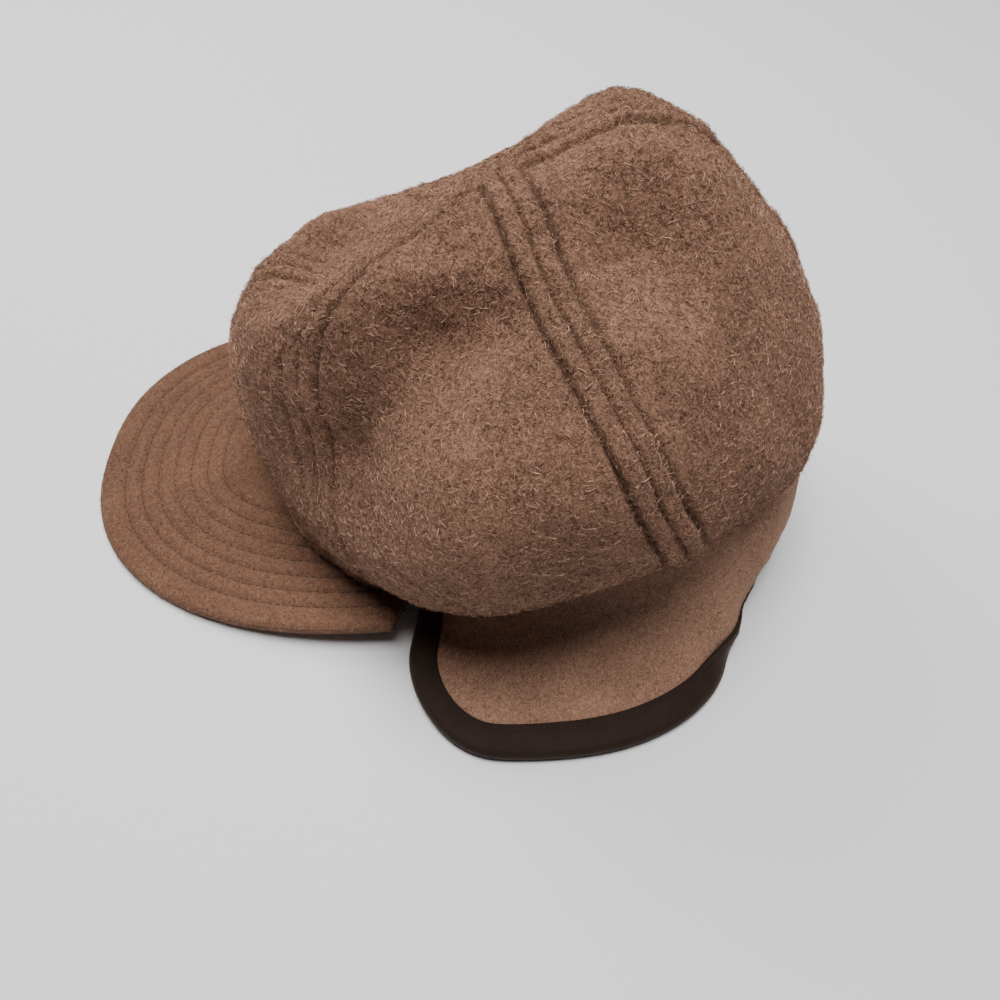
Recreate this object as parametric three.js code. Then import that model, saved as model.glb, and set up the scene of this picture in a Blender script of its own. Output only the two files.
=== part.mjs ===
// Soft six-panel cap with a short bill and an ear flap, as it lies on a flat surface.
// Millimetres, +Z up, bill towards -Y, wearer's left towards +X.

import * as THREE from "three";

// Thicknesses of the cloths, and the gap left between pieces that touch
const WOOL = 2.6;
const FELT = 2.2;
const RIBBON = 1.1;
const BILL_CLOTH = 2.4;
const GAP = 0.3;
const SEAM_GAP = 0.6;
const LINING_GAP = 0.9;

// Hem: a rounded oval, measured in the plane of the cap's opening
const HEM_HALF_LENGTH = 104;
const HEM_HALF_WIDTH = 80;
const HEM_SQUARENESS = 2.25;

// How the cap lies: nose down on its bill, with the middle of the hem at this height
const NOSE_DOWN = 21.5;
const HEM_MIDDLE_HEIGHT = 25;
// The bill holds the front of the hem up off the surface by this much, fading out up the crown
const FRONT_LIFT = 21;
const FRONT_LIFT_SHARPNESS = 2.2;
const FRONT_LIFT_FADE = 70;
const FRONT_LIFT_EASE = 1.5;

// Crown: where the six panels meet, above the opening and slumped to the back
const CROWN_TOP = 104;
const CROWN_SLUMP = 22;
// Each meridian of the crown passes its belly, shoulder, crest and dip at these shares of the climb
const STATIONS = [0, 0.22, 0.44, 0.64, 0.84, 1];

// Sections of the crown round the head, from the front centre (0) over the wearer's left (90).
// around and swing are degrees: swing is how far the meridian has turned when it reaches the crest.
// hemOut and bellyOut are measured out from the oval and from the hem, the other "Out" columns
// from the slumped axis, and the "Up" columns from the plane of the opening.
const SECTIONS = table(
  ["around", "hemOut", "swing", "bellyOut", "bellyUp", "shoulderOut", "shoulderUp",
    "crestOut", "crestUp", "dipOut", "dipUp"],
  [
    [0, 0, 0, -1, 45, 98, 78, 77, 97, 47, 84],
    [29, 0, -9, -2, 42, 93, 79, 81, 97, 48, 97],
    [57, 0, -21, 8, 32, 88, 75, 69, 103, 40, 106],
    [88, 0, -18, 20, 30, 90, 71, 54, 103, 26, 105],
    [122, 4, -15, 9, 36, 81, 73, 54, 99, 24, 103],
    [151, 5, -8, -6, 32, 76, 74, 60, 92, 32, 102],
    [180, 1, 14, -8, 36, 78, 68, 61, 91, 36, 103],
    [210, 0, 10, -1, 36, 82, 65, 60, 91, 38, 102],
    [242, 0, 0, 8, 38, 85, 65, 57, 84, 34, 92],
    [272, 0, 2, 6, 38, 81, 62, 54, 76, 32, 88],
    [303, 0, -2, 6, 38, 82, 64, 58, 77, 38, 84],
    [331, 0, -1, 2, 41, 93, 70, 68, 89, 46, 84],
  ],
);

// Soft folds pressed into the crown: a line from one place to another in the cap's own directions
// (side to the left, forward to the bill, up), its half width, and how far it pushes out
const FOLDS = table(
  ["name", "side", "forward", "up", "toSide", "toForward", "toUp", "halfWidth", "push"],
  [
    ["valley below the near ridge", 70, 40, 70, 60, 6, 90, 20, -17],
    ["valley across the side seam", 52, -22, 94, 40, -58, 88, 20, -17],
    ["shelf below the valley", 88, 4, 58, 82, -40, 62, 18, 6],
  ],
);
const FOLD_CENTRE = { side: 0, forward: -8, up: 45 };

// Crown panels between the seams, which run up the head at these places round it
const PANELS = table(
  ["name", "from", "to"],
  [
    ["crown_front_left", 0, 57],
    ["crown_side_left", 57, 122],
    ["crown_back_left", 122, 180],
    ["crown_back_right", 180, 242],
    ["crown_side_right", 242, 303],
    ["crown_front_right", 303, 360],
  ],
);
const PANEL_STEPS_ACROSS = 8;
const PANEL_STEPS_UP = 17;
// The tips stop this far from the top; the share of the climb there lies between these two
const PANEL_TIP_RADIUS = 1.6;
const TIP_CLIMB_RANGE = [0.9, 1];
const TIP_CLIMB_STEP = 1e-5;
// Inside this radius the cloth's thickness is measured straight down, so that the tips stay clear
const TIP_SMOOTHING = 16;

// Bill: a rounded outline in plan, lying flat on the surface at its front edge. Its root spans this
// many degrees of the hem each way; it lies flat from this share of the way out
const BILL_HALF_WIDTH = 84.8;
const BILL_BACK = 50;
const BILL_FRONT = 167.8;
const BILL_ROUNDNESS = 2.35;
const BILL_HALF_SPAN = 56.5;
const BILL_FLAT_FROM = 0.75;
const BILL_SAG = 1.5;
// Its two back corners are lifted off the surface, from this share of the way across
const BILL_CORNER_RISE = 8;
const BILL_LIFTS_FROM = 0.5;
const BILL_STEPS_ACROSS = 26;
const BILL_STEPS_OUT = 8;

// Ear flap: starts beside the bill and runs round the back, flaring out over the surface at the ear
const FLAP_START = 60.3;
const FLAP_DEPTH = 60;
const FLAP_CORNER = 30;
const FLAP_MM_PER_DEGREE = 1.57;
// Tucked top and first bend of the flap, as shares of the crown's climb, and how far inside they lie
const FLAP_TUCK = 0.014;
const FLAP_DROP = -0.09;
const FLAP_INSIDE = 8.5;
const FLAP_LOWEST_BEND = 3.5;
// The middle of its cloth rests this high at the free edge, and bends at least this much above that
const FLAP_REST = FELT / 2 + GAP + RIBBON;
const FLAP_BEND_RISE = 1;
const FLAP_HALF_LENGTH = (180 - FLAP_START) * FLAP_MM_PER_DEGREE;
// From the front centre (0) to the back (180): the way the cloth heads in plan, how far out from the
// hem its free edge and its second bend lie, and the bend's height as a share of the hem's
const FLAP_PROFILE = table(
  ["around", "heading", "flare", "bendOut", "bendUp"],
  [
    [60, 80, 38, 17, 0.12],
    [75, 86, 44, 17, 0.12],
    [90, 93, 44, 15, 0.12],
    [105, 108, 40, 14, 0.14],
    [118, 122, 31, 17, 0.2],
    [130, 134, 15, 17, 0.32],
    [142, 146, 2, 13, 0.4],
    [160, 165, -5, 8, 0.4],
    [180, 180, -6, 4, 0.4],
  ],
);
const FLAP_STEPS = { front: 4, corner: 7, bottom: 20 };
const FLAP_ROWS_UP = 6;
const FLAP_CURVE_STEPS = 30;

// Binding folded over the flap's free edge, round in section past the edge
const BINDING_WIDTH = 8;
const BINDING_TOP = 0.2;
const BINDING_STEPS_ROUND = 4;
// What lies this close to the surface is pressed flat on it
const FOOT_FLAT = 0.4;

// Sweatband: its rows below, at and above the hem, as shares of the climb
const SWEATBAND_ROWS = [-0.018, 0, 0.06];

const CLOTHS = {
  wool: { color: 0x8c6450, roughness: 0.95 },
  felt: { color: 0x8a6650, roughness: 0.9 },
  ribbon: { color: 0x33211a, roughness: 0.6 },
};

const DEG = Math.PI / 180;

function table(columns, rows) {
  return rows.map((row) => Object.fromEntries(columns.map((column, i) => [column, row[i]])));
}

// Smooth curve through rows of positions and values, with the slope at a row taken from its
// neighbours; beyond the ends it goes on straight
function smooth(positions, values, x) {
  const last = positions.length - 1;
  const slope = (i) => {
    const a = Math.max(i - 1, 0);
    const b = Math.min(i + 1, last);
    return (values[b] - values[a]) / (positions[b] - positions[a]);
  };
  if (x <= positions[0]) return values[0] + slope(0) * (x - positions[0]);
  if (x >= positions[last]) return values[last] + slope(last) * (x - positions[last]);
  let i = 0;
  while (x > positions[i + 1]) i += 1;
  const width = positions[i + 1] - positions[i];
  const t = (x - positions[i]) / width;
  const ease = t * t * (3 - 2 * t);
  return values[i] * (1 - ease) + values[i + 1] * ease
    + slope(i) * width * t * (1 - t) ** 2 - slope(i + 1) * width * t * t * (1 - t);
}

// The same all the way round the head, where the last section meets the first
function smoothAround(rows, column, around) {
  const turn = ((around % 360) + 360) % 360;
  const moved = (row, turns) => ({ ...row, around: row.around + 360 * turns });
  const before = rows.slice(-2).map((row) => moved(row, -1));
  const after = rows.slice(0, 2).map((row) => moved(row, 1));
  const ring = [...before, ...rows, ...after];
  return smooth(ring.map((row) => row.around), ring.map((row) => row[column]), turn);
}

function hemRadius(around) {
  const forward = Math.abs(Math.cos(around * DEG)) / HEM_HALF_LENGTH;
  const side = Math.abs(Math.sin(around * DEG)) / HEM_HALF_WIDTH;
  const oval = (forward ** HEM_SQUARENESS + side ** HEM_SQUARENESS) ** (-1 / HEM_SQUARENESS);
  return oval + smoothAround(SECTIONS, "hemOut", around);
}

// From the cap's own directions to where it lies
function lay(side, forward, up, around) {
  const tilt = NOSE_DOWN * DEG;
  const front = Math.max(Math.cos(around * DEG), 0) ** FRONT_LIFT_SHARPNESS;
  const fade = Math.min(Math.max(1 - up / FRONT_LIFT_FADE, 0), 1) ** FRONT_LIFT_EASE;
  return new THREE.Vector3(
    side,
    -(forward * Math.cos(tilt) + up * Math.sin(tilt)),
    HEM_MIDDLE_HEIGHT - forward * Math.sin(tilt) + up * Math.cos(tilt) + FRONT_LIFT * front * fade,
  );
}

// How far the folds push the crown out at a place
function foldPush(place) {
  let push = 0;
  for (const fold of FOLDS) {
    const start = new THREE.Vector3(fold.side, fold.forward, fold.up);
    const run = new THREE.Vector3(fold.toSide, fold.toForward, fold.toUp).sub(start);
    const along = Math.min(Math.max(place.clone().sub(start).dot(run) / run.lengthSq(), 0), 1);
    const distance = place.distanceTo(start.addScaledVector(run, along));
    push += fold.push * Math.exp(-((distance / fold.halfWidth) ** 2));
  }
  return push;
}

// Reach and height of the crown on one meridian, at a share of the climb from hem to top
function crownSection(around, climb) {
  const column = (name) => smoothAround(SECTIONS, name, around);
  const hem = hemRadius(around);
  const reach = [hem, hem + column("bellyOut"), column("shoulderOut"), column("crestOut"),
    column("dipOut"), 0];
  const up = [0, column("bellyUp"), column("shoulderUp"), column("crestUp"), column("dipUp"),
    CROWN_TOP];
  return { reach: smooth(STATIONS, reach, climb), up: smooth(STATIONS, up, climb) };
}

// Outer face of the crown
function crownPoint(around, climb) {
  const { reach, up } = crownSection(around, climb);
  const turned = Math.sin(Math.min(Math.max(climb / STATIONS[3], 0), 1) * Math.PI / 2);
  const angle = (around + smoothAround(SECTIONS, "swing", around) * turned) * DEG;
  const place = new THREE.Vector3(
    reach * Math.sin(angle),
    reach * Math.cos(angle) - CROWN_SLUMP * up / CROWN_TOP,
    up,
  );
  const centre = new THREE.Vector3(FOLD_CENTRE.side, FOLD_CENTRE.forward, FOLD_CENTRE.up);
  const outwards = place.clone().sub(centre).normalize();
  place.addScaledVector(outwards, foldPush(place));
  return lay(place.x, place.y, place.z, around);
}

function crownNormal(around, climb) {
  const stepAround = 0.5;
  const stepUp = 0.01;
  const across = crownPoint(around + stepAround, climb).sub(crownPoint(around - stepAround, climb));
  const rise = crownPoint(around, climb + stepUp).sub(crownPoint(around, climb - stepUp));
  const normal = across.cross(rise).normalize();
  const { reach } = crownSection(around, climb);
  const nearTop = Math.max(1 - reach / TIP_SMOOTHING, 0);
  return normal.lerp(new THREE.Vector3(0, -Math.sin(NOSE_DOWN * DEG), Math.cos(NOSE_DOWN * DEG)),
    nearTop * nearTop * (3 - 2 * nearTop)).normalize();
}

// A point inside the crown's outer face by the given depth
function insideCrown(around, climb, depth) {
  return crownPoint(around, climb).addScaledVector(crownNormal(around, climb), -depth);
}

// One closed body from rows of closed sections, swept from the first to the last or right round
function sweep(sections, { ring = false } = {}) {
  const count = sections[0].length;
  const rows = sections.length;
  const positions = sections.flatMap((section) => section.flatMap((p) => [p.x, p.y, p.z]));
  const triangles = [];
  const id = (row, i) => (row % rows) * count + (i % count);
  for (let row = 0; row < (ring ? rows : rows - 1); row += 1) {
    for (let i = 0; i < count; i += 1) {
      triangles.push([id(row, i), id(row, i + 1), id(row + 1, i + 1)]);
      triangles.push([id(row, i), id(row + 1, i + 1), id(row + 1, i)]);
    }
  }
  if (!ring) {
    for (let i = 0; i < count / 2 - 1; i += 1) {
      const far = count - 1 - i;
      for (const [row, turn] of [[0, true], [rows - 1, false]]) {
        const quad = [id(row, i), id(row, i + 1), id(row, far - 1), id(row, far)];
        if (turn) quad.reverse();
        triangles.push([quad[0], quad[1], quad[2]]);
        triangles.push([quad[0], quad[2], quad[3]]);
      }
    }
  }
  return closedGeometry(positions, triangles);
}

function closedGeometry(positions, triangles) {
  const corner = (i) => new THREE.Vector3().fromArray(positions, i * 3);
  const volume = triangles.reduce((sum, [a, b, c]) =>
    sum + corner(a).dot(corner(b).cross(corner(c))), 0);
  const index = triangles.flatMap(([a, b, c]) => (volume > 0 ? [a, b, c] : [a, c, b]));
  const geometry = new THREE.BufferGeometry();
  geometry.setAttribute("position", new THREE.Float32BufferAttribute(positions, 3));
  geometry.setIndex(index);
  geometry.computeVertexNormals();
  return geometry;
}

function steps(count, from = 0, to = 1) {
  return Array.from({ length: count + 1 }, (_, i) => from + ((to - from) * i) / count);
}

// Share of the climb at which a panel's tip ends
function tipClimb(around) {
  let [low, high] = TIP_CLIMB_RANGE;
  while (high - low > TIP_CLIMB_STEP) {
    const middle = (low + high) / 2;
    if (crownSection(around, middle).reach > PANEL_TIP_RADIUS) low = middle;
    else high = middle;
  }
  return low;
}

function crownPanel({ from, to }) {
  const sections = steps(PANEL_STEPS_UP).map((share) => {
    const line = steps(PANEL_STEPS_ACROSS).map((across) => {
      const seam = from + (to - from) * across;
      const climb = share * tipClimb(seam);
      const halfGap = (SEAM_GAP / 2 / crownSection(seam, climb).reach) / DEG;
      const around = seam + halfGap * (1 - 2 * across);
      return { around, climb };
    });
    const outer = line.map(({ around, climb }) => crownPoint(around, climb));
    const inner = line.map(({ around, climb }) => insideCrown(around, climb, WOOL));
    return [...outer, ...inner.reverse()];
  });
  return sweep(sections);
}

// A point of the bill, from its right corner (-1) to its left (1), from the hem (0) out to its edge
// (1), and above its underside: that lies on the surface at the front and rises to the hem
function billPoint(across, out, above) {
  const around = across * BILL_HALF_SPAN;
  const root = insideCrown(around, 0, WOOL);
  const angle = (across * Math.PI) / 2;
  const bend = (x) => Math.sign(x) * Math.abs(x) ** (2 / BILL_ROUNDNESS);
  const lifted = Math.max(Math.abs(across) - BILL_LIFTS_FROM, 0) / (1 - BILL_LIFTS_FROM);
  const edge = new THREE.Vector3(
    BILL_HALF_WIDTH * bend(Math.sin(angle)),
    -(BILL_BACK + (BILL_FRONT - BILL_BACK) * bend(Math.cos(angle))),
    BILL_CORNER_RISE * lifted ** 2,
  );
  const rootUnderside = crownPoint(around, 0).z - GAP - 2 * BILL_CLOTH - GAP;
  const rise = Math.max(1 - out / BILL_FLAT_FROM, 0) ** BILL_SAG;
  const underside = edge.z + (Math.max(rootUnderside, 0) - edge.z) * rise;
  return root.lerp(edge, out).setZ(underside + above);
}

function billLayer(bottom) {
  const sections = steps(BILL_STEPS_OUT).map((out) => {
    const line = steps(BILL_STEPS_ACROSS, -1, 1);
    const upper = line.map((across) => billPoint(across, out, bottom + BILL_CLOTH));
    const lower = line.map((across) => billPoint(across, out, bottom));
    return [...upper, ...lower.reverse()];
  });
  return sweep(sections);
}

// Middle of the flap's cloth, q millimetres along the hem from the flap's front end and a share t of
// the way from its tucked top to its free edge; turn is 1 on the left and -1 on the right
function flapPoint(turn, q, t) {
  const around = FLAP_START + q / FLAP_MM_PER_DEGREE;
  const place = turn > 0 ? around : 360 - around;
  const column = (name) => smooth(FLAP_PROFILE.map((row) => row.around),
    FLAP_PROFILE.map((row) => row[name]), around);
  const top = insideCrown(place, FLAP_TUCK, FLAP_INSIDE);
  const under = insideCrown(place, FLAP_DROP, FLAP_INSIDE);
  under.z = Math.max(under.z, FLAP_LOWEST_BEND);
  const hem = crownPoint(place, 0);
  const heading = column("heading") * DEG;
  const outwards = new THREE.Vector3(turn * Math.sin(heading), -Math.cos(heading), 0);
  const end = hem.clone().addScaledVector(outwards, column("flare")).setZ(FLAP_REST);
  const bend = hem.clone().addScaledVector(outwards, column("bendOut"));
  bend.setZ(FLAP_REST + FLAP_BEND_RISE + column("bendUp") * hem.z);
  const curve = new THREE.CubicBezierCurve3(top, under, bend, end);
  curve.arcLengthDivisions = FLAP_CURVE_STEPS;
  return curve.getPointAt(t);
}

function flapNormal(turn, q, t) {
  const step = 0.01;
  const below = Math.min(t + step, 1);
  const above = Math.max(t - step, 0);
  const along = flapPoint(turn, q + 1, t).sub(flapPoint(turn, q - 1, t));
  const down = flapPoint(turn, q, below).sub(flapPoint(turn, q, above));
  return along.cross(down).normalize().multiplyScalar(turn);
}

// Free edge of one half of the flap, inset by a number of millimetres: down the front, round the
// corner and along the bottom to the middle of the back
function flapOutline(inset) {
  const { front, corner, bottom } = FLAP_STEPS;
  const straight = FLAP_DEPTH - FLAP_CORNER;
  const down = steps(front, BINDING_TOP * FLAP_DEPTH, straight).map((d) => ({ q: inset, d }));
  const turn = steps(corner, 0, Math.PI / 2).slice(1).map((angle) => ({
    q: FLAP_CORNER - (FLAP_CORNER - inset) * Math.cos(angle),
    d: straight + (FLAP_CORNER - inset) * Math.sin(angle),
  }));
  const along = steps(bottom, FLAP_CORNER, FLAP_HALF_LENGTH).slice(1).map((q) => ({
    q,
    d: FLAP_DEPTH - inset,
  }));
  return [...down, ...turn, ...along];
}

// Both halves of an outline, from the right front round the back to the left front
function bothHalves(makePoint, outline) {
  const right = outline.map((place, i) => makePoint(-1, place, i));
  const left = outline.map((place, i) => makePoint(1, place, i)).reverse();
  return [...right, ...left.slice(1)];
}

// A place on the flap, q along the hem and d down from its top, moved out from its middle
function flapOffset(turn, { q, d }, offset) {
  const t = d / FLAP_DEPTH;
  return flapPoint(turn, q, t).addScaledVector(flapNormal(turn, q, t), offset);
}

function earFlap() {
  const edge = flapOutline(0);
  const middle = flapOutline(BINDING_WIDTH / 2);
  const inner = flapOutline(BINDING_WIDTH);
  const top = steps(inner.length - 1, BINDING_WIDTH, FLAP_HALF_LENGTH);
  const upper = steps(FLAP_ROWS_UP).slice(1).map((share) => inner.map(({ q, d }, i) => ({
    q: q + (top[i] - q) * share,
    d: d * (1 - share),
  })));
  const rows = [edge, middle, inner, ...upper];
  const faces = (offset) => rows.map((row) =>
    bothHalves((turn, place) => flapOffset(turn, place, offset), row));
  const outside = faces(FELT / 2);
  const inside = faces(-FELT / 2);
  return sweep(outside.map((row, i) => [...row, ...inside[i].reverse()]));
}

// Ribbon folded over the edge of the cloth: out along one face, round the edge, back along the other
function flapBinding() {
  const slot = FELT / 2 + GAP;
  const skin = slot + RIBBON;
  const inner = flapOutline(BINDING_WIDTH);
  const middle = flapOutline(BINDING_WIDTH / 2);
  const edge = flapOutline(0);
  const sectionAt = (turn, place, i) => {
    const side = (outline, offset) => flapOffset(turn, outline[i], offset);
    const fold = side(edge, 0);
    const outwards = fold.clone().sub(side(middle, 0)).normalize();
    const normal = side(edge, 1).sub(fold);
    const past = (out, up) => fold.clone().addScaledVector(outwards, out).addScaledVector(normal, up);
    const round = steps(BINDING_STEPS_ROUND, Math.PI / 2, -Math.PI / 2).slice(1, -1);
    const outside = [
      side(inner, skin), side(middle, skin), side(edge, skin),
      ...round.map((angle) => past(skin * Math.cos(angle), skin * Math.sin(angle))),
      side(edge, -skin), side(middle, -skin), side(inner, -skin),
    ];
    const inside = [
      side(inner, -slot), side(middle, -slot),
      past(GAP, -slot), past(GAP, 0), past(GAP, slot),
      side(middle, slot), side(inner, slot),
    ];
    return [...outside.map(pressFlat), ...inside];
  };
  return sweep(bothHalves(sectionAt, edge));
}

function pressFlat(point) {
  return point.z < FOOT_FLAT ? point.setZ(0) : point;
}

function sweatband() {
  const outside = WOOL + LINING_GAP;
  const places = PANELS.flatMap(({ from, to }) => steps(PANEL_STEPS_ACROSS, from, to).slice(0, -1));
  const sections = places.map((around) => {
    const face = (depth) => SWEATBAND_ROWS.map((climb) => insideCrown(around, climb, depth));
    return [...face(outside), ...face(outside + RIBBON).reverse()];
  });
  return sweep(sections, { ring: true });
}

const group = new THREE.Group();

function add(name, geometry, cloth) {
  const mesh = new THREE.Mesh(geometry, new THREE.MeshStandardMaterial({ ...cloth, metalness: 0 }));
  mesh.name = name;
  group.add(mesh);
}

for (const panel of PANELS) add(panel.name, crownPanel(panel), CLOTHS.wool);
add("bill_under", billLayer(0), CLOTHS.wool);
add("bill_top", billLayer(BILL_CLOTH + GAP), CLOTHS.wool);
add("ear_flap", earFlap(), CLOTHS.felt);
add("flap_binding", flapBinding(), CLOTHS.ribbon);
add("sweatband", sweatband(), CLOTHS.ribbon);

// The origin is on the surface, under the middle of the whole cap
const box = new THREE.Box3().setFromObject(group);
const middle = box.getCenter(new THREE.Vector3());
group.position.set(-middle.x, -middle.y, -box.min.z);

export default group;
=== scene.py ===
"""Soft six-panel cap of brushed wool, with a short stitched bill and a ribbon-bound ear flap.

Forms are worked out in millimetres in the cap's own place: bill towards -Y, wearer's left
towards +X, +Z up. Finished meshes are in metres, in the frame of the CAD.
"""

import math

import bpy
import numpy as np
from mathutils import Matrix, Vector


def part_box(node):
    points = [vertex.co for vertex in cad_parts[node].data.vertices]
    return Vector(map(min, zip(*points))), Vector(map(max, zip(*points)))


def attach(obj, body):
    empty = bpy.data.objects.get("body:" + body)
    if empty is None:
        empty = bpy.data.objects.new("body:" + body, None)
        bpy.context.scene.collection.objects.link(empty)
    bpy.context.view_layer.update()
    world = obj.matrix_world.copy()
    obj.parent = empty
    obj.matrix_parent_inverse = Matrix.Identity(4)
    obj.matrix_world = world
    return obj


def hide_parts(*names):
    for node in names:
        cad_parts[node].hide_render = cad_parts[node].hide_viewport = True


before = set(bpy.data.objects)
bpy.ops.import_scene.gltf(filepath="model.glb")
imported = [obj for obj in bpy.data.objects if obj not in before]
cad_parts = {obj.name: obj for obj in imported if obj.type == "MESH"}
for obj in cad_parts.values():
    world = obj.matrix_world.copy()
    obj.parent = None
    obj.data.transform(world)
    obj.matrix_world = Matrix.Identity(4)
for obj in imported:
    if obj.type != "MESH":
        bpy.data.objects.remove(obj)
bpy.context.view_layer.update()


def table(names, rows):
    """Rows of numbers as one array per named column."""
    return {name: np.array(column, float) for name, column in zip(names.split(), zip(*rows))}


MM = 0.001

# Thicknesses of the cloths
WOOL = 2.6
FELT = 2.2
RIBBON = 1.1
BILL_CLOTH = 2.4
GAP = 0.3
LINING_GAP = 0.9

# Hem: a rounded oval, measured in the plane of the cap's opening
HEM_HALF_LENGTH = 104
HEM_HALF_WIDTH = 80
HEM_SQUARENESS = 2.25

# How the cap lies: nose down on its bill, which holds the front of the hem up
NOSE_DOWN = math.radians(21.5)
HEM_MIDDLE_HEIGHT = 25
FRONT_LIFT = 21
FRONT_LIFT_SHARPNESS = 2.2
FRONT_LIFT_FADE = 70
FRONT_LIFT_EASE = 1.5

# Crown sections round the head, from the front centre (0) over the wearer's left (90); a
# meridian passes its belly, shoulder, crest and dip at these shares of the climb
CROWN_TOP = 104
CROWN_SLUMP = 22
STATIONS = [0, 0.22, 0.44, 0.64, 0.84, 1]
SECTIONS = table(
    "around hemOut swing bellyOut bellyUp shoulderOut shoulderUp crestOut crestUp dipOut dipUp",
    [
        [0, 0, 0, -1, 45, 98, 78, 77, 97, 47, 84],
        [29, 0, -9, -2, 42, 93, 79, 81, 97, 48, 97],
        [57, 0, -21, 8, 32, 88, 75, 69, 103, 40, 106],
        [88, 0, -18, 20, 30, 90, 71, 54, 103, 26, 105],
        [122, 4, -15, 9, 36, 81, 73, 54, 99, 24, 103],
        [151, 5, -8, -6, 32, 76, 74, 60, 92, 32, 102],
        [180, 1, 14, -8, 36, 78, 68, 61, 91, 36, 103],
        [210, 0, 10, -1, 36, 82, 65, 60, 91, 38, 102],
        [242, 0, 0, 8, 38, 85, 65, 57, 84, 34, 92],
        [272, 0, 2, 6, 38, 81, 62, 54, 76, 32, 88],
        [303, 0, -2, 6, 38, 82, 64, 58, 77, 38, 84],
        [331, 0, -1, 2, 41, 93, 70, 68, 89, 46, 84],
    ],
)
FOLDS = table(
    "side forward up toSide toForward toUp halfWidth push",
    [
        [70, 40, 70, 60, 6, 90, 20, -17],
        [52, -22, 94, 40, -58, 88, 20, -17],
        [88, 4, 58, 82, -40, 62, 18, 6],
    ],
)
FOLD_CENTRE = np.array([0, -8, 45])
TIP_SMOOTHING = 16
TIP_RADIUS = 0.7
TIP_FROM = 0.9
TIP_HALVINGS = 18
PANELS = [
    ("front_left", 0, 57),
    ("side_left", 57, 122),
    ("back_left", 122, 180),
    ("back_right", 180, 242),
    ("side_right", 242, 303),
    ("front_right", 303, 360),
]

# Bill
BILL_HALF_WIDTH = 84.8
BILL_BACK = 50
BILL_FRONT = 167.8
BILL_ROUNDNESS = 2.35
BILL_HALF_SPAN = 56.5
BILL_FLAT_FROM = 0.75
BILL_SAG = 1.5
BILL_CORNER_RISE = 8
BILL_LIFTS_FROM = 0.5

# Ear flap and its binding
FLAP_START = 60.3
FLAP_DEPTH = 60
FLAP_CORNER = 30
FLAP_MM_PER_DEGREE = 1.57
FLAP_TUCK = 0.014
FLAP_DROP = -0.09
FLAP_INSIDE = 8.5
FLAP_LOWEST_BEND = 3.5
FLAP_REST = FELT / 2 + GAP + RIBBON
FLAP_BEND_RISE = 1
FLAP_HALF_LENGTH = (180 - FLAP_START) * FLAP_MM_PER_DEGREE
FLAP_CURVE_STEPS = 30
FLAP_PROFILE = table(
    "around heading flare bendOut bendUp",
    [
        [60, 80, 38, 17, 0.12],
        [75, 86, 44, 17, 0.12],
        [90, 93, 44, 15, 0.12],
        [105, 108, 40, 14, 0.14],
        [118, 122, 31, 17, 0.2],
        [130, 134, 15, 17, 0.32],
        [142, 146, 2, 13, 0.4],
        [160, 165, -5, 8, 0.4],
        [180, 180, -6, 4, 0.4],
    ],
)
BINDING_WIDTH = 8
BINDING_TOP = 0.2

SWEATBAND_FROM = -0.018
SWEATBAND_TO = 0.06

# Stitching
SEAM_STITCH = 6.5
BILL_FIRST_ROW = 9.5
BILL_ROW_GAP = 6.2
BILL_ROWS = 7
BINDING_STITCH = 1.5


def smooth(positions, values, x):
    """Smooth curve through rows of values, its slope at a row taken from its neighbours."""
    x = np.asarray(x, float)
    positions = np.asarray(positions, float)
    values = np.stack([np.broadcast_to(value, x.shape) for value in values])
    rows = np.arange(len(positions))
    ahead = np.minimum(rows + 1, len(positions) - 1)
    behind = np.maximum(rows - 1, 0)
    spread = (positions[ahead] - positions[behind]).reshape(-1, *[1] * x.ndim)
    slopes = (values[ahead] - values[behind]) / spread
    row = np.clip(np.searchsorted(positions, x, side="right") - 1, 0, len(positions) - 2)

    def pick(of_rows, shift):
        return np.take_along_axis(of_rows, (row + shift)[None], axis=0)[0]

    width = positions[row + 1] - positions[row]
    t = (x - positions[row]) / width
    s = np.clip(t, 0, 1)
    ease = s**2 * (3 - 2 * s)
    start, end = pick(slopes, 0) * width, pick(slopes, 1) * width
    curve = pick(values, 0) * (1 - ease) + pick(values, 1) * ease
    curve += start * s * (1 - s) ** 2 - end * s**2 * (1 - s)
    return curve + start * np.minimum(t, 0) + end * np.maximum(t - 1, 0)


def section_column(column, around):
    """A column of the crown's sections at any place round the head."""
    places, values = SECTIONS["around"], SECTIONS[column]
    ring = np.concatenate([places[-2:] - 360, places, places[:2] + 360])
    return smooth(ring, np.concatenate([values[-2:], values, values[:2]]), np.mod(around, 360))


def hem_radius(around):
    forward = np.abs(np.cos(np.radians(around))) / HEM_HALF_LENGTH
    side = np.abs(np.sin(np.radians(around))) / HEM_HALF_WIDTH
    oval = (forward**HEM_SQUARENESS + side**HEM_SQUARENESS) ** (-1 / HEM_SQUARENESS)
    return oval + section_column("hemOut", around)


def lay(place, around):
    """From the cap's own directions (side, forward, up) to where it lies."""
    side, forward, up = np.moveaxis(place, -1, 0)
    front = np.maximum(np.cos(np.radians(around)), 0) ** FRONT_LIFT_SHARPNESS
    fade = np.clip(1 - up / FRONT_LIFT_FADE, 0, 1) ** FRONT_LIFT_EASE
    height = HEM_MIDDLE_HEIGHT - forward * math.sin(NOSE_DOWN) + up * math.cos(NOSE_DOWN)
    back = -(forward * math.cos(NOSE_DOWN) + up * math.sin(NOSE_DOWN))
    return np.stack([side, back, height + FRONT_LIFT * front * fade], axis=-1)


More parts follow.
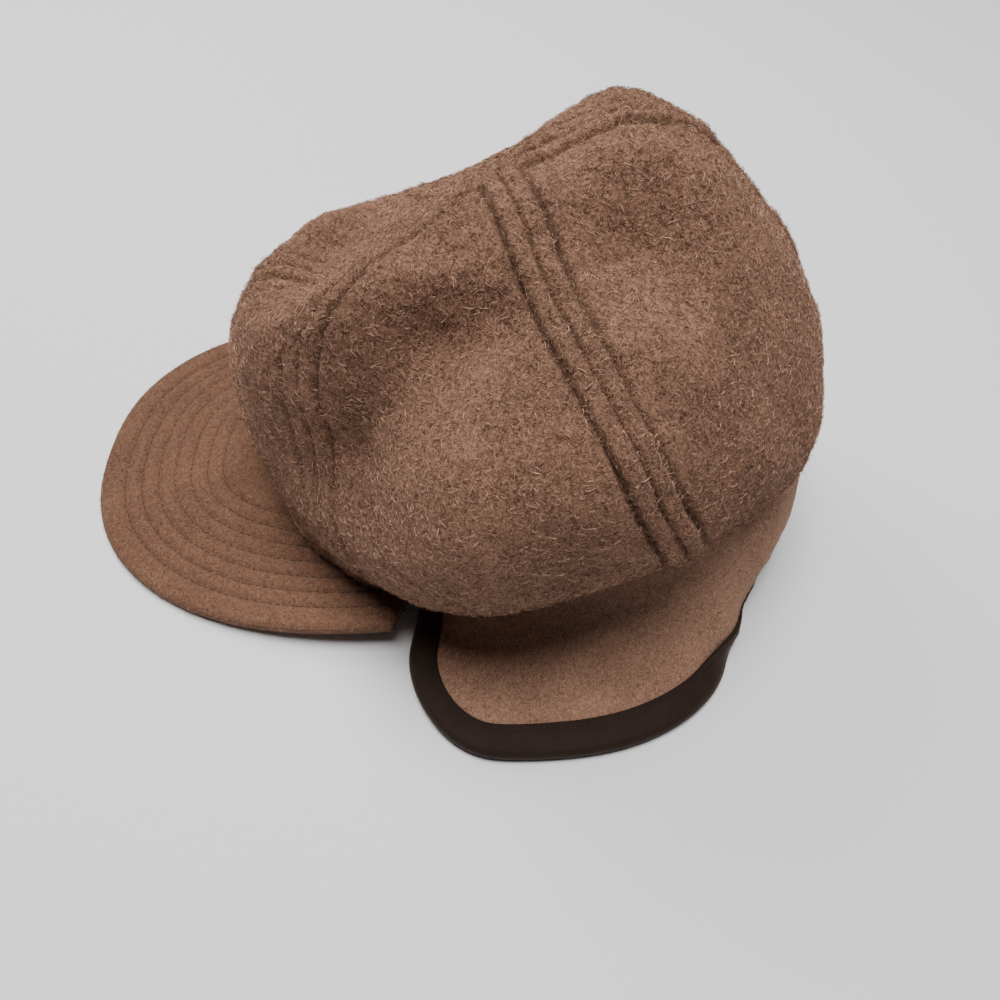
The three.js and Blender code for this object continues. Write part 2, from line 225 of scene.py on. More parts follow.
def fold_push(place):
    """How far the crown's soft folds push it out at a place."""
    push = 0
    for side, forward, up, to_side, to_forward, to_up, half_width, depth in zip(*FOLDS.values()):
        start = np.array([side, forward, up])
        run = np.array([to_side, to_forward, to_up]) - start
        along = np.clip((place - start) @ run / (run @ run), 0, 1)
        distance = np.linalg.norm(place - start - along[..., None] * run, axis=-1)
        push = push + depth * np.exp(-((distance / half_width) ** 2))
    return push


def crown_section(around, climb):
    """Reach and height of the crown on a meridian, at a share of the climb from hem to top."""
    hem = hem_radius(around)
    column = {name: section_column(name, around) for name in SECTIONS}
    reach = [hem, hem + column["bellyOut"], column["shoulderOut"], column["crestOut"],
             column["dipOut"], 0]
    up = [0, column["bellyUp"], column["shoulderUp"], column["crestUp"], column["dipUp"],
          CROWN_TOP]
    return smooth(STATIONS, reach, climb), smooth(STATIONS, up, climb)


def crown_point(around, climb):
    """Outer face of the crown."""
    around, climb = np.broadcast_arrays(np.asarray(around, float), np.asarray(climb, float))
    reach, up = crown_section(around, climb)
    turned = np.sin(np.clip(climb / STATIONS[3], 0, 1) * np.pi / 2)
    angle = np.radians(around + section_column("swing", around) * turned)
    forward = reach * np.cos(angle) - CROWN_SLUMP * up / CROWN_TOP
    place = np.stack([reach * np.sin(angle), forward, up], axis=-1)
    outwards = unit(place - FOLD_CENTRE)
    return lay(place + outwards * fold_push(place)[..., None], around)


def unit(vectors):
    return vectors / np.maximum(np.linalg.norm(vectors, axis=-1, keepdims=True), 1e-9)


def ease_in(x):
    """0 up to 0, 1 from 1, smooth between."""
    s = np.clip(x, 0, 1)
    return s * s * (3 - 2 * s)


def crown_normal(around, climb):
    step_around, step_up = 0.5, 0.01
    across = crown_point(around + step_around, climb) - crown_point(around - step_around, climb)
    rise = crown_point(around, climb + step_up) - crown_point(around, climb - step_up)
    reach, _ = crown_section(around, climb)
    near_top = ease_in(1 - reach / TIP_SMOOTHING)[..., None]
    top = np.array([0, -math.sin(NOSE_DOWN), math.cos(NOSE_DOWN)])
    return unit(unit(np.cross(across, rise)) * (1 - near_top) + top * near_top)


def inside_crown(around, climb, depth):
    """A point inside the crown's outer face by the given depth."""
    around, climb = np.broadcast_arrays(np.asarray(around, float), np.asarray(climb, float))
    depth = np.asarray(depth, float)[..., None]
    return crown_point(around, climb) - crown_normal(around, climb) * depth


def tip_climb(around):
    """Share of the climb at which a panel's tip ends."""
    low, high = np.full(around.shape, TIP_FROM), np.ones(around.shape)
    for _ in range(TIP_HALVINGS):
        middle = (low + high) / 2
        wide = crown_section(around, middle)[0] > TIP_RADIUS
        low, high = np.where(wide, middle, low), np.where(wide, high, middle)
    return low


def bill_point(across, out, above):
    """A point of the bill, from its right corner (-1) to its left (1) and from the hem (0) out
    to its edge (1), above its underside."""
    across, out = np.broadcast_arrays(np.asarray(across, float), np.asarray(out, float))
    around = across * BILL_HALF_SPAN
    root = inside_crown(around, 0, WOOL)
    angle = across * np.pi / 2
    lifted = np.maximum(np.abs(across) - BILL_LIFTS_FROM, 0) / (1 - BILL_LIFTS_FROM)

    def bend(x):
        return np.sign(x) * np.abs(x) ** (2 / BILL_ROUNDNESS)

    edge = np.stack([
        BILL_HALF_WIDTH * bend(np.sin(angle)),
        -(BILL_BACK + (BILL_FRONT - BILL_BACK) * bend(np.cos(angle))),
        BILL_CORNER_RISE * lifted**2,
    ], axis=-1)
    root_underside = crown_point(around, 0)[..., 2] - 2 * GAP - 2 * BILL_CLOTH
    rise = np.maximum(1 - out / BILL_FLAT_FROM, 0) ** BILL_SAG
    underside = edge[..., 2] + (np.maximum(root_underside, 0) - edge[..., 2]) * rise
    place = root + (edge - root) * out[..., None]
    place[..., 2] = underside + above
    return place


def along_rows(points, axis):
    """Length run along the rows or columns of a grid, from its first point."""
    pieces = np.linalg.norm(np.diff(points, axis=axis), axis=-1)
    start = np.zeros_like(np.take(pieces, [0], axis=axis))
    return np.concatenate([start, np.cumsum(pieces, axis=axis)], axis=axis)


def bezier(corners, s):
    shares = [(1 - s) ** 3, 3 * s * (1 - s) ** 2, 3 * s**2 * (1 - s), s**3]
    return sum(share[..., None] * corner for share, corner in zip(shares, corners))


def flap_point(turn, q, t):
    """Middle of the flap's cloth, q mm along the hem from its front end and a share t of the way
    from its tucked top to its free edge; turn is 1 on the left and -1 on the right."""
    turn, q, t = np.broadcast_arrays(*[np.asarray(value, float) for value in (turn, q, t)])
    around = FLAP_START + q / FLAP_MM_PER_DEGREE
    place = np.where(turn > 0, around, 360 - around)
    heading, flare, bend_out, bend_up = (
        smooth(FLAP_PROFILE["around"], FLAP_PROFILE[name], around)
        for name in ("heading", "flare", "bendOut", "bendUp")
    )
    top = inside_crown(place, FLAP_TUCK, FLAP_INSIDE)
    under = inside_crown(place, FLAP_DROP, FLAP_INSIDE)
    under[..., 2] = np.maximum(under[..., 2], FLAP_LOWEST_BEND)
    hem = crown_point(place, 0)
    heading = np.radians(heading)
    outwards = np.stack([turn * np.sin(heading), -np.cos(heading), 0 * turn], axis=-1)
    end = hem + outwards * flare[..., None]
    end[..., 2] = FLAP_REST
    bend = hem + outwards * bend_out[..., None]
    bend[..., 2] = FLAP_REST + FLAP_BEND_RISE + bend_up * hem[..., 2]
    stops = np.linspace(0, 1, FLAP_CURVE_STEPS + 1).reshape(-1, *[1] * t.ndim)
    points = bezier([top, under, bend, end], stops)
    lengths = along_rows(points, 0)
    target = t * lengths[-1]
    row = np.clip((lengths <= target).sum(axis=0) - 1, 0, FLAP_CURVE_STEPS - 1)
    before = np.take_along_axis(lengths, row[None], axis=0)[0]
    after = np.take_along_axis(lengths, row[None] + 1, axis=0)[0]
    stop = (row + (target - before) / (after - before)) / FLAP_CURVE_STEPS
    return bezier([top, under, bend, end], stop)


def flap_normal(turn, q, t):
    step = 0.01
    along = flap_point(turn, q + 1, t) - flap_point(turn, q - 1, t)
    below = flap_point(turn, q, np.minimum(t + step, 1))
    above = flap_point(turn, q, np.maximum(t - step, 0))
    return unit(np.cross(along, below - above)) * np.asarray(turn, float)[..., None]


LUMP_WAVES = 20
LUMP_SPREAD = (0.7, 1.5)


def lumps(place, size, seed):
    """A soft random field of about unit strength, with lumps of this size in mm."""
    draw = np.random.default_rng(seed)
    directions = unit(draw.normal(size=(LUMP_WAVES, 3)))
    rates = 2 * np.pi / (size * draw.uniform(*LUMP_SPREAD, LUMP_WAVES))
    phases = draw.uniform(0, 2 * np.pi, LUMP_WAVES)
    field = np.zeros(place.shape[:-1])
    for direction, rate, phase in zip(directions, rates, phases):
        field += np.cos(place @ direction * rate + phase)
    return field * math.sqrt(2 / LUMP_WAVES)


def uneven(place, kinds, ground=0):
    """Lumps of several kinds on a ground; each kind is a size, a height in mm and a seed."""
    return sum((height * lumps(place, size, seed) for size, height, seed in kinds), ground)


def dent(distance, half_width, depth=1):
    return depth * np.exp(-((distance / half_width) ** 2))


def rounded(distance, radius):
    """How far a face has sunk at a distance from its rounded edge."""
    inside = np.clip(1 - distance / radius, 0, 1)
    return radius * (1 - np.sqrt(1 - inside**2))


# Places of the CAD frame: the bill's front edge and middle give the cap's own origin
bill_low, bill_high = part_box("bill_top")
ORIGIN = np.array([
    (bill_low[0] + bill_high[0]) / 2 / MM,
    bill_low[1] / MM + BILL_FRONT,
    0,
])


class Wire:
    """A node's output that takes part in sums: each operator adds a Math node."""

    def __init__(self, nodes, socket):
        self.nodes = nodes
        self.socket = socket

    def maths(self, operation, *values):
        return self.nodes.add("ShaderNodeMath", {"operation": operation}, dict(enumerate(values)))

    def __add__(self, other):
        return self.maths("ADD", self, other)

    def __sub__(self, other):
        return self.maths("SUBTRACT", self, other)

    def __rsub__(self, other):
        return self.maths("SUBTRACT", other, self)

    def __mul__(self, other):
        return self.maths("MULTIPLY", self, other)

    __radd__ = __add__
    __rmul__ = __mul__

    def sine(self):
        return self.maths("SINE", self)

    def clamped(self):
        held = self.maths("ADD", self, 0)
        held.socket.node.use_clamp = True
        return held


class Nodes:
    """A node tree; add makes a node from its type, its settings and what its sockets take."""

    def __init__(self, tree):
        self.tree = tree

    def add(self, kind, settings=None, sockets=None, output=0):
        node = self.tree.nodes.new(kind)
        for name, value in (settings or {}).items():
            setattr(node, name, value)
        for name, value in (sockets or {}).items():
            if isinstance(value, Wire):
                self.tree.links.new(value.socket, node.inputs[name])
            else:
                node.inputs[name].default_value = value
        return Wire(self, node.outputs[output] if node.outputs else None)

    def noise(self, place, size, detail=2.0, roughness=0.55, distortion=0.0):
        """Noise from 0 to 1 with grains of this size in mm."""
        return self.add("ShaderNodeTexNoise", {}, {
            "Vector": place, "Scale": 1 / (size * MM), "Detail": detail,
            "Roughness": roughness, "Distortion": distortion,
        })

    def blend(self, share, low, high):
        """A colour from low to high."""
        return self.add("ShaderNodeMix", {"data_type": "RGBA"}, {0: share, 6: low, 7: high}, 2)


def finish_nodes(name):
    material = bpy.data.materials.new(name)
    material.use_nodes = True
    material.node_tree.nodes.clear()
    return material, Nodes(material.node_tree)


SHEEN_TINT = (0.8, 0.52, 0.38, 1)
SHEEN_ROUGHNESS = 0.5
CLOTH_SPECULAR = 0.2


def close_finish(nodes, colour, roughness, height, depth, strength, sheen):
    """Ends a material in one shader; height is in shares of depth, in mm."""
    bump = nodes.add("ShaderNodeBump", {}, {
        "Strength": strength, "Distance": depth * MM, "Height": height,
    })
    shader = nodes.add("ShaderNodeBsdfPrincipled", {}, {
        "Base Color": colour, "Roughness": roughness, "Normal": bump,
        "Sheen Weight": sheen, "Sheen Roughness": SHEEN_ROUGHNESS, "Sheen Tint": SHEEN_TINT,
        "Specular IOR Level": CLOTH_SPECULAR,
    })
    nodes.add("ShaderNodeOutputMaterial", {}, {"Surface": shader})


# Wool: sizes in mm of its patches and hairs, and how much of each grain the colour shows
PATCH_SIZE = 26
HAIR_SIZE = 0.42
TUFT_CONTRAST = 2.0
HAIR_CONTRAST = 1.8
PATCH_CONTRAST = 0.5
WOOL_LIGHTNESS = 0.44
TUFT_HEIGHT = 0.72
HAIR_HEIGHT = 0.28
WOOL_ROUGHNESS = 0.95
WOOL_BUMP = 0.9


def wool_finish(name, dark, light, tuft, relief, sheen):
    """Brushed cloth: tufts of nap with the darker ground between them; the colour also darkens
    where the nap attribute is low, which paints shade in seam grooves and stitch rows.
    """
    material, nodes = finish_nodes(name)
    place = nodes.add("ShaderNodeTexCoord", output=3)
    patches = nodes.noise(place, PATCH_SIZE, detail=1)
    tufts = nodes.noise(place, tuft, detail=3, roughness=0.6, distortion=1.4)
    hairs = nodes.noise(place, HAIR_SIZE, detail=2, roughness=0.6, distortion=2.0)
    grain = (tufts - 0.5) * TUFT_CONTRAST + (hairs - 0.5) * HAIR_CONTRAST
    share = grain + (patches - 0.5) * PATCH_CONTRAST + WOOL_LIGHTNESS
    nap = nodes.add("ShaderNodeAttribute", {"attribute_name": "nap"}, output=2)
    # Where the nap attribute is low the colour darkens: painted shade in seam grooves and stitch
    # rows
    colour = nodes.blend(share.clamped() * nap, dark, light)
    height = tufts * TUFT_HEIGHT + hairs * HAIR_HEIGHT
    close_finish(nodes, colour, WOOL_ROUGHNESS, height, relief, WOOL_BUMP, sheen)
    return material


# Loose fibres: sizes in mm of their shades and of their bump
SHADE_SIZE = 0.9
SHADE_CONTRAST = 3.2
FIBRE_BUMP_SIZE = 0.5


def fibre_finish(name, dark, light):
    """Loose fibres, each a little lighter or darker than the next."""
    material, nodes = finish_nodes(name)
    place = nodes.add("ShaderNodeTexCoord", output=3)
    share = (nodes.noise(place, SHADE_SIZE, detail=2) - 0.5) * SHADE_CONTRAST + 0.5
    colour = nodes.blend(share.clamped(), dark, light)
    height = nodes.noise(place, FIBRE_BUMP_SIZE)
    close_finish(nodes, colour, roughness=0.85, height=height, depth=0.02, strength=0.3, sheen=0.4)
    return material


# Ribbon: how much of its ribs, threads, fading and fluff the colour and the height show
RIB_SHARE = 0.45
THREAD_SHARE = 0.2
FADE_SIZE = 9
FADE_SHARE = 0.5
FLUFF_SIZE = 0.5
FLUFF_SHARE = 0.7
RIBBON_LIGHTNESS = 0.1
RIB_HEIGHT = 0.6
THREAD_HEIGHT = 0.25
FLUFF_HEIGHT = 0.3


def ribbon_finish(name, dark, light, rib, slope):
    """Ribbon with fine ribs of weave, along and across its own length in the cloth map."""
    material, nodes = finish_nodes(name)
    cloth = nodes.add("ShaderNodeUVMap", {"uv_map": "cloth"})
    split = nodes.add("ShaderNodeSeparateXYZ", {}, {"Vector": cloth})
    across = Wire(nodes, split.socket.node.outputs[1])
    turn = 2 * math.pi / (rib * MM)
    ribs = (split * turn + across * (turn * slope)).sine() * 0.5 + 0.5
    threads = (across * turn - split * (turn * slope)).sine() * 0.5 + 0.5
    place = nodes.add("ShaderNodeTexCoord", output=3)
    fade = nodes.noise(place, FADE_SIZE, detail=2)
    fluff = nodes.noise(place, FLUFF_SIZE, detail=2)
    weave = ribs * RIB_SHARE + threads * THREAD_SHARE + (fade - 0.5) * FADE_SHARE
    share = weave + (fluff - 0.5) * FLUFF_SHARE + RIBBON_LIGHTNESS
    colour = nodes.blend(share.clamped(), dark, light)
    height = ribs * RIB_HEIGHT + threads * THREAD_HEIGHT + fluff * FLUFF_HEIGHT
    close_finish(nodes, colour, roughness=0.68, height=height, depth=0.16, strength=0.8, sheen=0.12)
    return material


TWIST_SIZE = 0.4


def thread_finish(name, dark, light):
    material, nodes = finish_nodes(name)
    place = nodes.add("ShaderNodeTexCoord", output=3)
    twist = nodes.noise(place, TWIST_SIZE, detail=1)
    colour = nodes.blend(twist, dark, light)
    close_finish(nodes, colour, roughness=0.7, height=twist, depth=0.08, strength=0.6, sheen=0.1)
    return material


crown_wool = wool_finish("brushed_wool_crown", (0.05, 0.023, 0.013, 1), (0.49, 0.268, 0.175, 1),
                         tuft=1.3, relief=1.3, sheen=0.1)
bill_wool = wool_finish("brushed_wool_bill", (0.08, 0.037, 0.022, 1), (0.265, 0.14, 0.088, 1),
                        tuft=1.2, relief=0.5, sheen=0.1)
flap_wool = wool_finish("napped_felt_flap", (0.18, 0.096, 0.062, 1), (0.56, 0.325, 0.218, 1),
                        tuft=1.1, relief=0.4, sheen=0.12)
nap_fibre = fibre_finish("wool_fibre", (0.075, 0.036, 0.022, 1), (0.57, 0.33, 0.224, 1))
pale_wisp = fibre_finish("pale_wisp", (0.36, 0.205, 0.14, 1), (0.7, 0.46, 0.335, 1))
felt_fibre = fibre_finish("felt_fibre", (0.22, 0.122, 0.082, 1), (0.64, 0.395, 0.28, 1))
binding_ribbon = ribbon_finish("binding_ribbon", (0.007, 0.0033, 0.0021, 1),
                               (0.037, 0.019, 0.0115, 1), rib=0.75, slope=1.0)
band_ribbon = ribbon_finish("sweatband_ribbon", (0.009, 0.005, 0.004, 1),
                            (0.035, 0.022, 0.017, 1), rib=1.1, slope=0.0)
brown_thread = thread_finish("brown_thread", (0.035, 0.018, 0.011, 1), (0.09, 0.05, 0.033, 1))
dark_thread = thread_finish("dark_thread", (0.012, 0.007, 0.005, 1), (0.05, 0.03, 0.023, 1))


def add_object(name, mesh):
    made = bpy.data.objects.new(name, mesh)
    bpy.context.scene.collection.objects.link(made)
    return made


def make_piece(name, points, faces, material, cloth, nap=None):
    """A smooth mesh from points in the cap's own millimetres. cloth is each point's place on the
    flat cloth, in mm, and nap is how thickly fibres grow on it, from 0 to 1."""
    points = (points.reshape(-1, 3) + ORIGIN) * MM
    corners = points[faces]
    volume = np.einsum("ij,ij->i", corners[:, 0], np.cross(corners[:, 1], corners[:, 2])).sum()
    if volume < 0:
        faces = faces[:, ::-1]
    mesh = bpy.data.meshes.new(name)
    mesh.from_pydata(points.tolist(), [], faces.tolist())
    mesh.shade_smooth()
    mesh.materials.append(material)
    flat = cloth.reshape(-1, 2)[faces.reshape(-1)] * MM
    mesh.uv_layers.new(name="cloth").data.foreach_set("uv", flat.reshape(-1).astype(np.float32))
    # A low nap also darkens the wool's colour: painted shade in the seam grooves and the bill's
    # stitch rows
    if nap is not None:
        mesh.attributes.new("nap", "FLOAT", "POINT").data.foreach_set(
            "value", nap.reshape(-1).astype(np.float32))
    return add_object(name, mesh)


def cells(rows, columns, ring=False, loop=False):
    """Corner numbers of the cells of a grid; its columns or its rows may go right round."""
    index = np.arange(rows * columns).reshape(rows, columns)
    if ring:
        index = np.concatenate([index, index[:, :1]], axis=1)
    if loop:
        index = np.concatenate([index, index[:1]])
    return np.stack(
        [index[:-1, :-1], index[:-1, 1:], index[1:, 1:], index[1:, :-1]], axis=-1
    ).reshape(-1, 4)


def shell(name, outer, inner, material, cloth, nap):
    """A closed cloth from its outer and inner face, two grids that are joined round their rim;
    fibres grow on the outer one."""
    rows, columns = outer.shape[:2]
    count = rows * columns
    index = np.arange(count).reshape(rows, columns)
    rim = np.concatenate([index[0], index[1:, -1], index[-1, -2::-1], index[-2:0:-1, 0]])
    after = np.roll(rim, -1)
    face = cells(rows, columns)
    faces = np.concatenate([
        face, face[:, ::-1] + count, np.stack([after, rim, rim + count, after + count], axis=-1),
    ])
    both = np.concatenate([outer.reshape(-1, 3), inner.reshape(-1, 3)])
    grown = np.concatenate([nap.reshape(-1), np.zeros(count)])
    return make_piece(name, both, faces, material, np.concatenate([cloth, cloth]), grown)


def sleeve(name, loops, material, cloth, closed=False):
    """A body from closed sections, each a loop of points. It goes right round, or has a cap at
    both ends."""
    sections, count = loops.shape[:2]
    faces = cells(sections, count, ring=True, loop=closed)
    if not closed:
        near = np.arange(count // 2 - 1)
        far = count - 1 - near
        start = np.stack([near + 1, near, far, far - 1], axis=-1)
        end = (sections - 1) * count + start[:, ::-1]
        faces = np.concatenate([faces, start, end])
    return make_piece(name, loops, faces, material, cloth)


# How finely the crown's panels are worked, closer together near their seams
PANEL_COLUMNS = 64
PANEL_ROWS = 130
SEAM_CROWDING = 0.75

# Beside a seam the cloth is doubled into a raised strip, with a row of stitches along its far
# edge. How strongly that shows differs from seam to seam, and it fades on a narrow tip.
SEAM_OPEN = 0.03
SEAM_RELIEF = {0: 0.55, 57: 0.45, 122: 1, 180: 0.8, 242: 0.8, 303: 0.6, 360: 0.55}
RELIEF_FROM = 4
RELIEF_OVER = 11
STRIP_RISE = 0.85
STRIP_FALL = 2.4
STRIP_INSIDE_STITCH = 1.4
STRIP_MIDDLE = 3
STRIP_LUMPS = [(7, 0.22, 5)]
HEM_TURN = 1.2

# Half width of each dent in mm, with its depth in mm, or with the share by which nap is thinned
# there; that share also darkens the colour, which is painted shade in the seam's grooves
GROOVE = (1.1, 1.9)
SEAM_FURROW = (1.6, 0.4)
SEAM_DIP = (0.8, 0.7)
GROOVE_THIN_NAP_AND_SHADE = (1.0, 0.8)
SEAM_THIN_NAP_AND_SHADE = (0.7, 0.5)

CROWN_LUMPS = [(30, 0.45, 1), (9, 0.16, 2), (4.2, 0.13, 3)]
STITCHED_WIDTH = 17
STITCHED_ABOVE_HEM = 1.5
CROWN_STITCH_LIFT = 0.02

stitch_lines = {"crown": [], "bill": [], "binding": []}


def follow(points, run, at):
    """Points where a length that runs along each row of a grid reaches a value."""
    rows = np.arange(len(points))
    after = np.clip((run < at[:, None]).sum(axis=1), 1, run.shape[1] - 1)
    low, high = run[rows, after - 1], run[rows, after]
    share = ((at - low) / (high - low))[:, None]
    return points[rows, after - 1] * (1 - share) + points[rows, after] * share


def crown_panel(name, start, end):
    """One panel: its edges turn down into the seams, over a strip held by a row of stitches."""
    t = np.linspace(0, 1, PANEL_COLUMNS + 1)
    across = t - SEAM_CROWDING * np.sin(2 * np.pi * t) / (2 * np.pi)
    seam = start + (end - start) * across
    climb = np.linspace(0, 1, PANEL_ROWS + 1)[:, None] * tip_climb(seam)
    seam = np.broadcast_to(seam, climb.shape)
    reach, _ = crown_section(seam, climb)
    around = seam + np.degrees(SEAM_OPEN / 2 / reach) * (1 - 2 * across)
    base, normal = crown_point(around, climb), crown_normal(around, climb)
    from_start = along_rows(base, 1)
    width = from_start[:, -1:]
    edge = np.minimum(from_start, width - from_start)
    up = along_rows(base, 0)

    wide = ease_in((width - RELIEF_FROM) / RELIEF_OVER)
    wide = wide * np.where(from_start * 2 < width, SEAM_RELIEF[start], SEAM_RELIEF[end])
    strip = STRIP_RISE * (1 - ease_in((edge - SEAM_STITCH + STRIP_INSIDE_STITCH) / STRIP_FALL))
    strip += uneven(base, STRIP_LUMPS) * dent(edge - STRIP_MIDDLE, STRIP_MIDDLE)
    furrows = dent(edge - SEAM_STITCH, *GROOVE) + dent(edge, *SEAM_FURROW)
    relief = uneven(base, CROWN_LUMPS, wide * (strip - furrows))
    turned = dent(edge, *SEAM_DIP) + rounded(up, HEM_TURN)
    outer = base + normal * (relief - turned)[..., None]
    inner = base - normal * (WOOL - rounded(up, HEM_TURN))[..., None]
    # Seam grooves: fewer fibres, and a darker colour that is painted shade in the grooves
    thin_nap_and_shade = dent(edge - SEAM_STITCH, *GROOVE_THIN_NAP_AND_SHADE) + dent(edge, *SEAM_THIN_NAP_AND_SHADE)
    nap = np.clip(1 - wide * thin_nap_and_shade, 0, 1)
    cloth = np.stack([from_start, up], axis=-1)
    panel = shell(f"crown_{name}_cloth", outer, inner, crown_wool, cloth, nap)

    stitched = (width[:, 0] > STITCHED_WIDTH) & (up[:, 0] > STITCHED_ABOVE_HEM)
    for at in (0 * width[:, 0] + SEAM_STITCH, width[:, 0] - SEAM_STITCH):
        line, out = follow(outer, from_start, at), follow(normal, from_start, at)
        line, out = line[stitched], out[stitched]
        stitch_lines["crown"].append((line + CROWN_STITCH_LIFT * out, out))
    return panel


# How finely the bill is worked, closer together towards its edge
BILL_COLUMNS = 200
BILL_OUT_STEPS = 84
BILL_CROWDING = 1.3

# Each row of stitches pulls in the bill's faces, less from below near the edge
BILL_THICKNESS = 2 * BILL_CLOTH + GAP
BILL_EDGE_LEFT = 0.05
BILL_CLOTHS_APART = 0.02
QUILT_HALF_WIDTH = 1.0
QUILT_DEPTH = 0.6
QUILT_DEPTH_BELOW = 0.25
QUILT_BELOW_FADE = 8
# Share by which a stitch row thins the nap and darkens the colour, a painted shade in the row's
# groove
QUILT_THIN_NAP_AND_SHADE = 0.25
BILL_LUMPS = [(5, 0.1, 7), (16, 0.12, 8)]
BILL_LUMPS_FADE = 3
BILL_STITCH_LIFT = 0.05


def bill_cloths():
    """The bill's two cloths, quilted together by rows of stitches that follow its edge."""
    across = np.linspace(-1, 1, BILL_COLUMNS + 1)
    out = (1 - (1 - np.linspace(0, 1, BILL_OUT_STEPS + 1)) ** BILL_CROWDING)[:, None]
    underside = bill_point(across, out, 0)
    edge_line = bill_point(np.linspace(-1, 1, 2 * BILL_COLUMNS + 1), 1, 0)[:, :2]
    apart = [np.linalg.norm(underside[..., :2] - place, axis=-1) for place in edge_line]
    edge = np.min(apart, axis=0)
    rows = BILL_FIRST_ROW + BILL_ROW_GAP * np.arange(BILL_ROWS)
    quilt = sum(dent(edge - row, QUILT_HALF_WIDTH) for row in rows)
    fluff = uneven(underside, BILL_LUMPS) * ease_in(edge / BILL_LUMPS_FADE)
    middle = BILL_THICKNESS / 2
    sunk = rounded(edge, middle - BILL_EDGE_LEFT)
    cloth = np.stack(np.broadcast_arrays(underside[..., 0], underside[..., 1]), axis=-1)

    def raised(heights):
        place = underside.copy()
        place[..., 2] += heights
        return place

    top = raised(BILL_THICKNESS - sunk - QUILT_DEPTH * quilt + fluff)
    bottom = raised(sunk + QUILT_DEPTH_BELOW * quilt * ease_in(edge / QUILT_BELOW_FADE))
    # Fewer fibres along the stitch rows, and a darker colour there that is painted shade in the
    # rows' grooves
    nap = 1 - QUILT_THIN_NAP_AND_SHADE * np.clip(quilt, 0, 1)
    upper = shell("bill_upper_cloth", top, raised(middle + BILL_CLOTHS_APART), bill_wool, cloth,
                  nap)
    lower = shell("bill_lower_cloth", bottom, raised(middle - BILL_CLOTHS_APART), bill_wool, cloth,
                  np.ones_like(edge))
    for row in rows:
        there = edge[0] > row
        for face, way in ((top, 1), (bottom, -1)):
            line = follow(face.swapaxes(0, 1), -edge.T, np.full(edge.shape[1], -row))[there]
            ups = np.tile([0.0, 0.0, way], (len(line), 1))
            stitch_lines["bill"].append((line + BILL_STITCH_LIFT * ups, ups))
    return upper, lower


# How finely the ear flap is worked, and the rows under its binding, in mm from its edge
FLAP_FRONT_STEPS = 12
FLAP_CORNER_STEPS = 22
FLAP_BOTTOM_STEPS = 100
FLAP_ROWS_TO_TOP = 34
FLAP_EDGE_ROWS = [0, 0.3, 0.8, 2, 4, 6]
FLAP_EDGE_RADIUS = 0.9

# Ripples grow from the hem outwards and die out on the surface; nap starts just under the hem
FLAP_RIPPLES = [(34, 0.8, 11), (13, 0.3, 12)]
RIPPLE_FROM = 12
RIPPLE_OVER = 30
RIPPLE_CLEAR = 4
FLAP_LUMPS = [(5, 0.1, 13)]
FLAP_NAP_FROM = 8
FLAP_NAP_OVER = 10
FLAP_NAP_BY_BINDING = 0.6


def flap_outline(inset):
    """The flap's free edge inset by some mm, from the right front round the back to the left
    front, as which side it is on, q along the hem and d down from the top."""
    straight = FLAP_DEPTH - FLAP_CORNER
    down = np.linspace(BINDING_TOP * FLAP_DEPTH, straight, FLAP_FRONT_STEPS + 1)
    turn = np.linspace(0, np.pi / 2, FLAP_CORNER_STEPS + 1)[1:]
    along = np.linspace(FLAP_CORNER, FLAP_HALF_LENGTH, FLAP_BOTTOM_STEPS + 1)[1:]
    radius = FLAP_CORNER - inset
    q = np.concatenate([0 * down + inset, FLAP_CORNER - radius * np.cos(turn), along])
    d = np.concatenate([down, straight + radius * np.sin(turn), 0 * along + FLAP_DEPTH - inset])
    side = np.concatenate([0 * q - 1, 0 * q[1:] + 1])
    return side, np.concatenate([q, q[-2::-1]]), np.concatenate([d, d[-2::-1]])


def flap_sheet(side, q, d):
    """Middle of the flap's cloth and its normal, with its soft ripples."""
    base, normal = flap_point(side, q, d / FLAP_DEPTH), flap_normal(side, q, d / FLAP_DEPTH)
    free = ease_in((d - RIPPLE_FROM) / RIPPLE_OVER)
    clear = ease_in((base[..., 2] - FLAP_REST) / RIPPLE_CLEAR)
    ripple = uneven(base, FLAP_RIPPLES) * free * clear
    return base + normal * ripple[..., None], normal


def flap_cloth():
    side, inner_q, inner_d = flap_outline(BINDING_WIDTH)
    insets = np.array(FLAP_EDGE_ROWS)
    near = [flap_outline(inset) for inset in insets]
    half = len(side) // 2 + 1
    top_q = np.linspace(BINDING_WIDTH, FLAP_HALF_LENGTH, half)
    top_q = np.concatenate([top_q, top_q[-2::-1]])
    share = np.linspace(0, 1, FLAP_ROWS_TO_TOP + 1)[:, None]
    q = np.concatenate([[line[1] for line in near], inner_q + (top_q - inner_q) * share])
    d = np.concatenate([[line[2] for line in near], inner_d * (1 - share)])
    base, normal = flap_sheet(np.broadcast_to(side, q.shape), q, d)
    sunk = np.concatenate([rounded(insets, FLAP_EDGE_RADIUS), 0 * share[:, 0]])[:, None]
    seen = base - normal * (FELT / 2 - sunk + uneven(base, FLAP_LUMPS))[..., None]
    hidden = base + normal * (FELT / 2 - sunk)[..., None]
    shown = np.concatenate([0 * insets, [FLAP_NAP_BY_BINDING], np.ones(FLAP_ROWS_TO_TOP)])
    nap = shown[:, None] * ease_in((d - FLAP_NAP_FROM) / FLAP_NAP_OVER)
    cloth = np.stack([side * (FLAP_HALF_LENGTH - q), -d], axis=-1)
    return shell("flap_cloth", seen, hidden, flap_wool, cloth, nap)


# The binding's puckers: depth and gap along it, and where across it they lie, in mm
PUCKER_DEPTH = 0.14
PUCKER_GAP = 5.2
PUCKER_MIDDLE = 3.5
PUCKER_HALF_WIDTH = 3
RIBBON_LUMPS = [(8, 0.16, 17)]
BINDING_SLACK = 0.08
BINDING_STITCH_DEPTH = 0.3
FOLD_ANGLES = [60, 30, 0, -30, -60]


